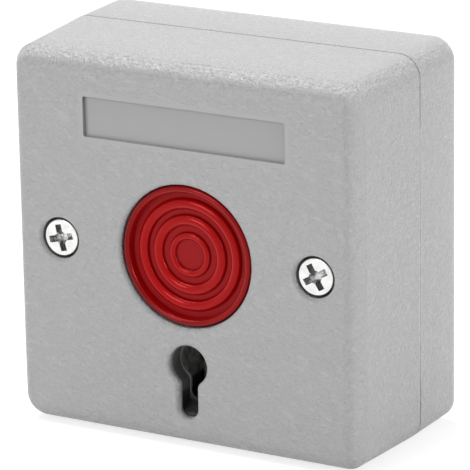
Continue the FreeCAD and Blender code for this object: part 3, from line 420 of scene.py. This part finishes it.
def grain_strength(look, grained):
    """How strong the grain stands: faint where none is meant, and different on each side."""
    return look.all_of(
        look.spread(grained, 0.0, 1.0, SMOOTH_STRENGTH, 1.0),
        look.spread(look.past_x, 4.4 * MM, 5.0 * MM, FRONT_STRENGTH, SIDE_STRENGTH),
        look.spread(look.past_z, 1.0 * MM, 4.4 * MM, 1.0, CURVE_STRENGTH),
        look.spread(look.spread(look.high, *ON_ENDS), 0.0, 1.0, 1.0, ENDS_STRENGTH))


def edge_roll(look):
    """Height that falls towards the top and the right, which rounds the face's edge off there."""
    towards = look.length(look.most(look.minus(look.x, CORNER_CENTRE), 0.0),
                          look.most(look.minus(look.z, CORNER_CENTRE), 0.0))
    rearward = look.node("SeparateXYZ", {0: look.true_normal()}).outputs["Y"]
    return look.times(look.spread(towards, 0.0, ROLL_WIDTH, 0.0, -ROLL_OFF, smooth=True),
                      look.inside(rearward, 0.4, 0.6))


def lip_shade(look):
    """Soft shade on the lower left lip of each opening in the face."""
    x, z = look.x, look.z
    slot_z = look.math("MINIMUM", look.most(z, KEY_SLOT_LOW), KEY_CENTRE)
    openings = [(x, z, APERTURE_RADIUS), (x, look.minus(z, KEY_CENTRE), KEY_RADIUS),
                (x, look.minus(z, slot_z), KEY_SLOT_HALF)]
    for side in (-SCREW_OFFSET, SCREW_OFFSET):
        openings.append((look.minus(x, side), z, WELL_RADIUS))
    shades = []
    for across, up, radius in openings:
        near = look.inside(look.length(across, up), radius, radius + LIP_REACH, smooth=True)
        leftward, downward = (part / radius for part in LIP_LOW_LEFT)
        low_left = look.plus(look.times(across, leftward), look.times(up, downward))
        shades.append(look.all_of(near, look.spread(low_left, -0.1, 0.9), LIP_SHADE))
    return look.all_of(look.any_of(*shades), look.near_face)


def opening_shade(look):
    """Shade down in the screw wells and in the gap round the button."""
    from_screw = look.length(look.minus(look.wide, SCREW_OFFSET), look.z)
    in_well = look.inside(from_screw, WELL_RADIUS + 0.05 * MM, WELL_RADIUS + 0.25 * MM)
    in_gap = look.inside(look.length(look.x, look.z), APERTURE_RADIUS,
                         APERTURE_RADIUS + 0.2 * MM, GAP_SHADE)
    sunk = look.times(look.spread(look.depth, *IN_OPENING), look.near_face)
    return look.all_of(look.any_of(in_well, in_gap), sunk, OPENING_SHADE)


def label_shade(look):
    """Shade in the label recess, along its walls and deeper along the left one."""
    by_wall = look.spread(look.beyond_label, -0.7 * MM, 0.0, 0.12, 0.30)
    by_left = look.inside(look.x, 0.2 * MM - LABEL_HALF_WIDTH, 1.2 * MM - LABEL_HALF_WIDTH, 0.60)
    sunk = look.times(look.spread(look.depth, *IN_LABEL), look.near_face)
    on_label = look.inside(look.beyond_label, 0.05 * MM, 0.10 * MM)
    return look.all_of(look.any_of(by_wall, by_left), sunk, on_label)


def seam_shade(look):
    """Shade on both lips of the seam, fainter on the right side."""
    return look.all_of(look.inside(look.off_seam, 0.15 * MM, 0.55 * MM, SEAM_SHADE),
                       look.spread(look.x, 42 * MM, 40 * MM, SEAM_SIDE_SHADE, 1.0))


def seam_painted_light(look):
    """Share of painted light along the middle of the right side's seam: a painted highlight on its
    lips, and near-white walls in the gap that paint its shade out.
    """
    on_side = look.all_of(look.spread(look.x, 40 * MM, 41 * MM),
                          look.spread(look.high, 34 * MM, 24 * MM))
    lips = look.inside(look.off_seam, 0.3 * MM, 0.8 * MM, SEAM_LIGHT_PALE)
    walls = look.inside(look.off_seam, 0.13 * MM, 0.15 * MM)
    return look.all_of(on_side, look.any_of(lips, walls))


def shell_grey(look, grained, creases, flecks):
    """The grey, with painted shade in the grain's creases, painted highlights on its flecks,
    painted light towards the wall and along the back edge, and painted light along the right side's
    seam.
    """
    # Painted light: paler towards the wall, and paler still along the back edge
    rearward = look.spread(look.depth, *REARWARD)
    painted_rear_light = look.any_of(look.all_of(rearward, rearward, REAR_PAINTED_LIGHT),
                        look.spread(look.depth, *BACK_EDGE, 0.0, BACK_EDGE_PAINTED_LIGHT))
    blotches = look.noise(7 * MM, detail=4.0, roughness=0.6)
    # Painted shade in the grain's creases, deeper or fainter with the blotches
    painted_crease_shade = look.all_of(creases, grained, look.spread(blotches, 0.3, 0.7, 0.05, 0.18))
    grey = look.blend(painted_crease_shade, look.blend(painted_rear_light, GREY, GREY_PAINTED_LIGHT), GREY_CREASE)
    # Painted highlights on the grain's crests and dashes
    grey = look.blend(look.times(flecks, FLECK_HIGHLIGHT), grey, GREY_PAINTED_LIGHT)
    # Painted light along the right side's seam
    return look.blend(seam_painted_light(look), grey, GREY_SEAM_LIGHT)


def grained_plastic():
    """Leather grain on the outside, left out on the label recess and the band round it."""
    look = ShellLook("grained_grey")
    grained = where_grained(look)

    folds = look.wrinkles(1.9 * MM, distortion=0.9, width=0.18)
    small_folds = look.wrinkles(1.2 * MM, distortion=0.7, width=0.16,
                                place=look.warped(size=3.0 * MM, amount=1.0 * MM))
    folded = look.plus(look.times(folds, FOLD_SHARE), look.times(small_folds, SMALL_FOLD_SHARE))
    creases = look.inside(folded, 0.05, 0.35)
    worms = worm_crests(look)
    flecks = look.all_of(look.any_of(look.times(worms, WORM_SHARE), drawn_dashes(look)), grained)
    pebbles = look.noise(1.0 * MM, detail=1.5, distortion=0.4)
    fine = look.noise(0.3 * MM, detail=3.0, roughness=0.6)
    height = look.plus(folded, look.times(pebbles, PEBBLE_SHARE), look.times(fine, FINE_SHARE),
                       look.times(flecks, FLECK_SHARE))
    level = look.times(look.minus(height, GRAIN_MEAN), grain_strength(look, grained))
    look.relief(look.plus(level, edge_roll(look)), GRAIN_DEPTH)

    shade = look.any_of(opening_shade(look), label_shade(look), seam_shade(look), lip_shade(look))
    grey = shell_grey(look, grained, creases, flecks)
    look.set(Base_Color=look.blend(shade, grey, GREY_SHADE), Specular_IOR_Level=0.5)
    rough = look.plus(look.spread(fine, 0.3, 0.7, 0.32, 0.46), look.times(creases, 0.1))
    look.set(Roughness=look.minus(rough, look.all_of(worms, grained, WORM_POLISH)))
    return look.material


# The other pieces

def button_plastic():
    """Glossy ridges, matt flats between them, a painted shade line at the foot of each ridge and
    painted shade on the rim's lower left.
    """
    look = Look("button_red")
    x, y, z = look.axes()
    rise = look.minus(look.times(y, -1.0), FLAT_DEPTH)
    from_axis = look.length(x, z)
    ridge = look.spread(rise, 0.05 * MM, 0.30 * MM, smooth=True)
    rim = look.all_of(look.spread(from_axis, RIM_FOOT - 0.1 * MM, RIM_FOOT + 0.1 * MM),
                      look.spread(rise, 0.8 * MM, 1.8 * MM))
    red = look.blend(rim, look.blend(ridge, RED_FLAT, RED_RIDGE), RED_RIM)

    # Painted shade on the rim's lower left
    leftward, downward = (part / APERTURE_RADIUS for part in RIM_LOW_LEFT)
    low_left = look.plus(look.times(x, leftward), look.times(z, downward))
    rim_shade = look.all_of(look.spread(low_left, 0.0, 0.7),
                            look.spread(from_axis, 13.8 * MM, 15.2 * MM, *RIM_SHADE),
                            look.spread(from_axis, 13.6 * MM, 13.8 * MM))
    red = look.blend(rim_shade, red, RED_RIM_SHADE)

    # Painted shade: a dark line at the foot of each ridge
    lines = [look.inside(look.distance(from_axis, foot), 0.06 * MM, 0.26 * MM, smooth=True)
             for foot in RIDGE_FEET]
    line = look.all_of(look.any_of(*lines), look.inside(rise, 0.30 * MM, 0.55 * MM), FOOT_LINE_SHADE)
    look.set(Base_Color=look.blend(line, red, RED_FOOT_SHADE), Specular_IOR_Level=0.8,
             Specular_Tint=RED_GLOSS)

    haze = look.noise(3 * MM, detail=4.0, roughness=0.6)
    rough = look.spread(ridge, 0.0, 1.0, FLAT_ROUGH, RIDGE_ROUGH)
    look.set(Roughness=look.plus(rough, look.times(haze, HAZE_ROUGH)))
    frost = look.times(look.noise(0.15 * MM), look.minus(1.0, ridge))
    look.relief(frost, FROST_DEPTH, FROST_STRENGTH)
    return look.material


def guide_plastic():
    """Black moulding, with a painted highlight along the ledge at the front of the keyway and
    mottled painted light behind it.
    """
    look = Look("guide_black")
    x, y, z = look.axes()
    mottle = look.noise(4 * MM, detail=4.0, roughness=0.6)
    black = look.blend(look.times(mottle, 0.5), GUIDE_BLACK, GUIDE_DARK)
    # Painted light behind the ledge, where the keyway's back lies in shade
    behind = look.spread(y, -LEDGE_FRONT + 0.15 * MM, -LEDGE_FRONT + 0.5 * MM)
    black_with_painted_light = look.blend(look.times(behind, look.spread(mottle, 0.35, 0.65)), black, GUIDE_PAINTED_LIGHT)

    in_foot = look.spread(z, *FOOT_TOP)
    scratched = look.noise(0.6 * MM, detail=3.0, roughness=0.6, distortion=1.0)
    scuffs = look.spread(scratched, 0.45, 0.65)
    black_with_painted_light = look.blend(in_foot, black_with_painted_light, look.blend(scuffs, FOOT_BLACK, FOOT_SCUFF))

    # Painted highlight along the ledge's front edge
    off_ledge = look.magnitude(look.plus(y, LEDGE_FRONT))
    from_key = look.length(x, look.plus(z, LEDGE_CENTRE))
    ledge = look.all_of(look.inside(off_ledge, 0.05 * MM, 0.35 * MM, smooth=True),
                        look.spread(z, *LEDGE_FOOT, 0.15, 1.0),
                        look.inside(from_key, *LEDGE_REACH))
    look.set(Base_Color=look.blend(ledge, black_with_painted_light, GUIDE_LEDGE_HIGHLIGHT), Specular_IOR_Level=0.4)
    look.set(Roughness=look.spread(mottle, 0.3, 0.7, 0.34, 0.48))
    look.relief(look.noise(0.3 * MM, detail=3.0), PLASTIC_RELIEF)
    return look.material


def screw_nickel():
    """Bright plate, dull and with painted shade down in the cross recess, and a painted glint in
    its middle.
    """
    look = Look("bright_nickel")
    x, y, z = look.axes()
    from_middle = look.minus(look.magnitude(x), SCREW_OFFSET)
    across = look.times(from_middle, look.math("SIGN", x))
    clouds = look.noise(1.6 * MM, detail=5.0, roughness=0.65)
    plate = look.blend(look.spread(clouds, 0.35, 0.65), NICKEL, NICKEL_DULL)

    streaks = look.noise(0.7 * MM, detail=3.0, roughness=0.6, distortion=0.8)
    inside = look.inside(look.length(from_middle, z), *RECESS_RADIUS)
    sunk = look.spread(look.times(y, -1.0), HEAD_TOP - 0.15 * MM, HEAD_TOP - 0.45 * MM)
    leftward = look.node("VectorMath", {0: look.true_normal(), 1: RECESS_LEFTWARD},
                         operation="DOT_PRODUCT").outputs["Value"]
    unlit = look.any_of(look.spread(leftward, 0.15, 0.35, 1.0, 0.15),
                        look.spread(across, *RECESS_FAR_SIDE))
    # Painted shade in the recess, on the facets that the light doesn't reach
    recess = look.all_of(inside, sunk, unlit, look.spread(streaks, 0.40, 0.60, 1.0, 0.45))
    plate = look.blend(recess, plate, RECESS_SHADE)

    # Painted glint in the middle of the recess
    off_glint = look.length(across, look.plus(z, GLINT_DROP))
    glint = look.all_of(look.inside(off_glint, *GLINT_RADIUS), sunk,
                        look.spread(streaks, 0.40, 0.52, 0.4, 1.0))
    look.set(Base_Color=look.blend(glint, plate, GLINT_WHITE),
             Metallic=look.spread(glint, 0.0, 1.0, 1.0, GLINT_METALLIC))
    look.set(Roughness=look.plus(look.spread(clouds, 0.3, 0.7, 0.14, 0.22),
                                 look.times(recess, 0.2)))
    look.relief(look.noise(0.3 * MM, detail=4.0, roughness=0.7), METAL_RELIEF)
    return look.material


def plain_plastic(name, colour, rough):
    """Smooth moulded plastic, faintly mottled."""
    look = Look(name)
    mottle = look.noise(4 * MM, detail=4.0, roughness=0.6)
    darker = tuple(part * 0.8 for part in colour)
    look.set(Base_Color=look.blend(look.times(mottle, 0.5), colour, darker))
    look.set(Roughness=look.spread(mottle, 0.3, 0.7, rough - 0.06, rough + 0.08))
    look.relief(look.noise(0.25 * MM, detail=3.0), PLASTIC_RELIEF)
    return look.material


def plated_metal(name, colour, rough):
    """Plate with faint stains and fine scratches."""
    look = Look(name)
    clouds = look.noise(2.5 * MM, detail=5.0, roughness=0.65)
    worn = tuple(part * 0.7 for part in colour)
    look.set(Base_Color=look.blend(look.times(clouds, 0.3), colour, worn), Metallic=1.0)
    look.set(Roughness=look.spread(clouds, 0.3, 0.7, rough * 0.8, rough * 1.3))
    look.relief(look.noise(0.3 * MM, detail=4.0, roughness=0.7), METAL_RELIEF)
    return look.material


def board_laminate():
    """Solder resist over the raised copper, which runs in crooked tracks."""
    look = Look("board_laminate")
    cells = look.node("TexVoronoi", {"Vector": look.place, "Scale": 1 / CELL_SIZE},
                      feature="DISTANCE_TO_EDGE")
    tracks = look.inside(cells.outputs["Distance"], *TRACK_EDGE)
    look.set(Base_Color=look.blend(tracks, LAMINATE, TRACK))
    look.set(Roughness=0.32, Specular_IOR_Level=0.5)
    look.relief(tracks, COPPER_RELIEF)
    return look.material


def dress():
    """Give every CAD node its look, and hand back the springs' one."""
    grained = grained_plastic()
    black = plain_plastic("black_plastic", BLACK, 0.42)
    natural = plain_plastic("natural_plastic", NATURAL, 0.40)
    zinc = plated_metal("zinc_plate", ZINC, 0.30)
    brass = plated_metal("brass", BRASS, 0.28)
    wire = plated_metal("spring_wire", SPRING, 0.30)
    nickel = screw_nickel()
    looks = {
        "front_cover": grained, "back_box": grained, "button_cap": button_plastic(),
        "mechanism_carrier": guide_plastic(), "latch_keeper": black, "switch_housing": black,
        "latch_slider": natural, "switch_lid": natural, "switch_plunger": natural,
        "cover_screw_left": nickel, "cover_screw_right": nickel,
        "insert_left": brass, "insert_right": brass, "contact_bridge": brass,
        "fixed_contact_left": brass, "fixed_contact_right": brass,
        "carrier_screws": zinc, "keeper_screws": zinc, "board_screws": zinc,
        "terminal_screws": zinc, "terminal_clamps": zinc,
        "return_spring": wire, "latch_spring": wire, "contact_spring": wire,
        "circuit_board": board_laminate(),
        "terminal_block": plain_plastic("terminal_green", GREEN, 0.38),
    }
    for name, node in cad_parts.items():
        node.data.materials.clear()
        node.data.materials.append(looks[name])
    return wire


# Springs: coils of their own in place of the CAD springs

def coil_rings(shape, low, high, axis, wire, turns):
    """Rings of points round the wire, along a coil that fills the box from low to high."""
    first, second = (k for k in range(3) if k != axis)
    middle = (low + high) / 2
    radius = (high[first] - low[first] - wire) / 2
    lead = wire * (0.5 - WIRE_GRIND)
    start, length = low[axis] + lead, high[axis] - low[axis] - 2 * lead
    steps = round(turns * TURN_STEPS)
    rings = []
    for step in range(steps + 1):
        turn = 2 * math.pi * turns * step / steps
        ring = []
        for side in range(WIRE_SIDES):
            around = 2 * math.pi * side / WIRE_SIDES
            reach = radius + wire / 2 * math.cos(around)
            place = middle.copy()
            place[first] += reach * math.cos(turn)
            place[second] += reach * math.sin(turn)
            along = start + length * step / steps + wire / 2 * math.sin(around)
            place[axis] = min(max(along, low[axis]), high[axis])
            ring.append(shape.verts.new(place))
        rings.append(ring)
    return rings


def coil_mesh(name, low, high, axis, wire, turns):
    """A coil of round wire, closed at both ends, which are ground flat."""
    mesh = bpy.data.meshes.new(name)
    shape = bmesh.new()
    rings = coil_rings(shape, low, high, axis, wire, turns)
    for ring, after in zip(rings, rings[1:]):
        for side in range(WIRE_SIDES):
            beside = (side + 1) % WIRE_SIDES
            shape.faces.new((ring[side], ring[beside], after[beside], after[side]))
    shape.faces.new(rings[0])
    shape.faces.new(rings[-1])
    bmesh.ops.recalc_face_normals(shape, faces=shape.faces)
    for face in shape.faces:
        face.smooth = True
    shape.to_mesh(mesh)
    shape.free()
    mesh.set_sharp_from_angle(angle=SHARP_ANGLE)
    return mesh


def make_spring(name, look, node, joint, travel, axis, held_end, wire, turns):
    """A coil in the CAD spring's box, which rides with the housing in place of the CAD spring."""
    box = low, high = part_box(node)
    mesh = coil_mesh(name, low, high, axis, wire, turns)
    mesh.materials.append(look)
    piece = bpy.data.objects.new(name, mesh)
    bpy.context.collection.objects.link(piece)
    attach(piece, "housing")
    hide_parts(node)
    anchor = (low + high) / 2
    anchor[axis] = box[held_end][axis]
    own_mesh(piece)


# Stage

def seen_directly(tree):
    """1 for what the camera, mirrors and glass see, 0 for what only lights other surfaces."""
    path = tree.nodes.new("ShaderNodeLightPath")
    seen = path.outputs["Is Camera Ray"]
    for name in ("Is Glossy Ray", "Is Transmission Ray"):
        either = tree.nodes.new("ShaderNodeMath")
        either.operation = "MAXIMUM"
        tree.links.new(seen, either.inputs[0])
        tree.links.new(path.outputs[name], either.inputs[1])
        seen = either.outputs[0]
    return seen


def mix_by_sight(tree, output, lighting, sight):
    """Send lighting to the output for other surfaces, and sight for what sees it directly."""
    mix = tree.nodes.new("ShaderNodeMixShader")
    tree.links.new(seen_directly(tree), mix.inputs[0])
    tree.links.new(lighting.outputs[0], mix.inputs[1])
    tree.links.new(sight.outputs[0], mix.inputs[2])
    tree.links.new(mix.outputs[0], output.inputs[0])


def matt(tree, level):
    shader = tree.nodes.new("ShaderNodeBsdfDiffuse")
    shader.inputs["Color"].default_value = (level, level, level, 1)
    return shader


def floor_glow(tree):
    """Light of the floor itself, up to plain white away from the object."""
    glow = tree.nodes.new("ShaderNodeEmission")
    place = tree.nodes.new("ShaderNodeTexCoord")
    away = tree.nodes.new("ShaderNodeVectorMath")
    away.operation = "LENGTH"
    tree.links.new(place.outputs["Object"], away.inputs[0])
    brighter = tree.nodes.new("ShaderNodeMapRange")
    limits = (*FLOOR_FADE, FLOOR_GLOW_NEAR, FLOOR_GLOW_FAR)
    for socket, given in zip(brighter.inputs[1:5], limits):
        socket.default_value = given
    tree.links.new(away.outputs["Value"], brighter.inputs[0])
    tree.links.new(brighter.outputs[0], glow.inputs["Strength"])
    return glow


def make_floor(level):
    """White floor that keeps the object's shadow."""
    bpy.ops.mesh.primitive_plane_add(size=FLOOR_SIDE, location=(0, 0, level))
    floor = bpy.context.object
    floor.name = "floor"
    material = bpy.data.materials.new("white_floor")
    material.use_nodes = True
    tree = material.node_tree
    tree.nodes.clear()
    output = tree.nodes.new("ShaderNodeOutputMaterial")
    both = tree.nodes.new("ShaderNodeAddShader")
    tree.links.new(matt(tree, FLOOR_SEEN).outputs[0], both.inputs[0])
    tree.links.new(floor_glow(tree).outputs[0], both.inputs[1])
    mix_by_sight(tree, output, matt(tree, FLOOR_PAPER), both)
    floor.data.materials.append(material)


def make_world():
    """White all round for the camera, dim for what it lights."""
    world = bpy.data.worlds.new("studio")
    bpy.context.scene.world = world
    world.use_nodes = True
    tree = world.node_tree
    tree.nodes.clear()
    output = tree.nodes.new("ShaderNodeOutputWorld")
    dim, white = (tree.nodes.new("ShaderNodeBackground") for _ in range(2))
    dim.inputs["Strength"].default_value = WORLD_LIGHT
    for background in (dim, white):
        background.inputs["Color"].default_value = (1, 1, 1, 1)
    mix_by_sight(tree, output, dim, white)


def make_lamp(name, place, side, power):
    lamp = bpy.data.lights.new(name, "AREA")
    lamp.size = side
    lamp.energy = power
    lamp_object = bpy.data.objects.new(name, lamp)
    bpy.context.collection.objects.link(lamp_object)
    lamp_object.location = place
    lamp_object.rotation_mode = "QUATERNION"
    lamp_object.rotation_quaternion = (-Vector(place)).to_track_quat("-Z", "Y")


def make_camera():
    camera = bpy.data.cameras.new("camera")
    camera.lens = FOCAL_LENGTH
    camera.sensor_width = SENSOR
    camera.clip_start, camera.clip_end = CLIP_NEAR, CLIP_FAR
    camera_object = bpy.data.objects.new("camera", camera)
    bpy.context.collection.objects.link(camera_object)
    flat = math.cos(ELEVATION)
    back = Vector((math.sin(AZIMUTH) * flat, -math.cos(AZIMUTH) * flat, math.sin(ELEVATION)))
    aim = (-back).to_track_quat("-Z", "Y") @ Quaternion((0, 0, 1), ROLL)
    camera_object.location = CAMERA_PLACE
    camera_object.rotation_mode = "QUATERNION"
    camera_object.rotation_quaternion = aim
    bpy.context.scene.camera = camera_object


wire_look = dress()
for spring_name, facts in SPRINGS.items():
    make_spring(spring_name, wire_look, **facts)
make_floor(cad_box[0].z)
make_world()
for lamp_name, facts in LAMPS.items():
    make_lamp(lamp_name, **facts)
make_camera()
bpy.context.scene.view_settings.view_transform = "Standard"
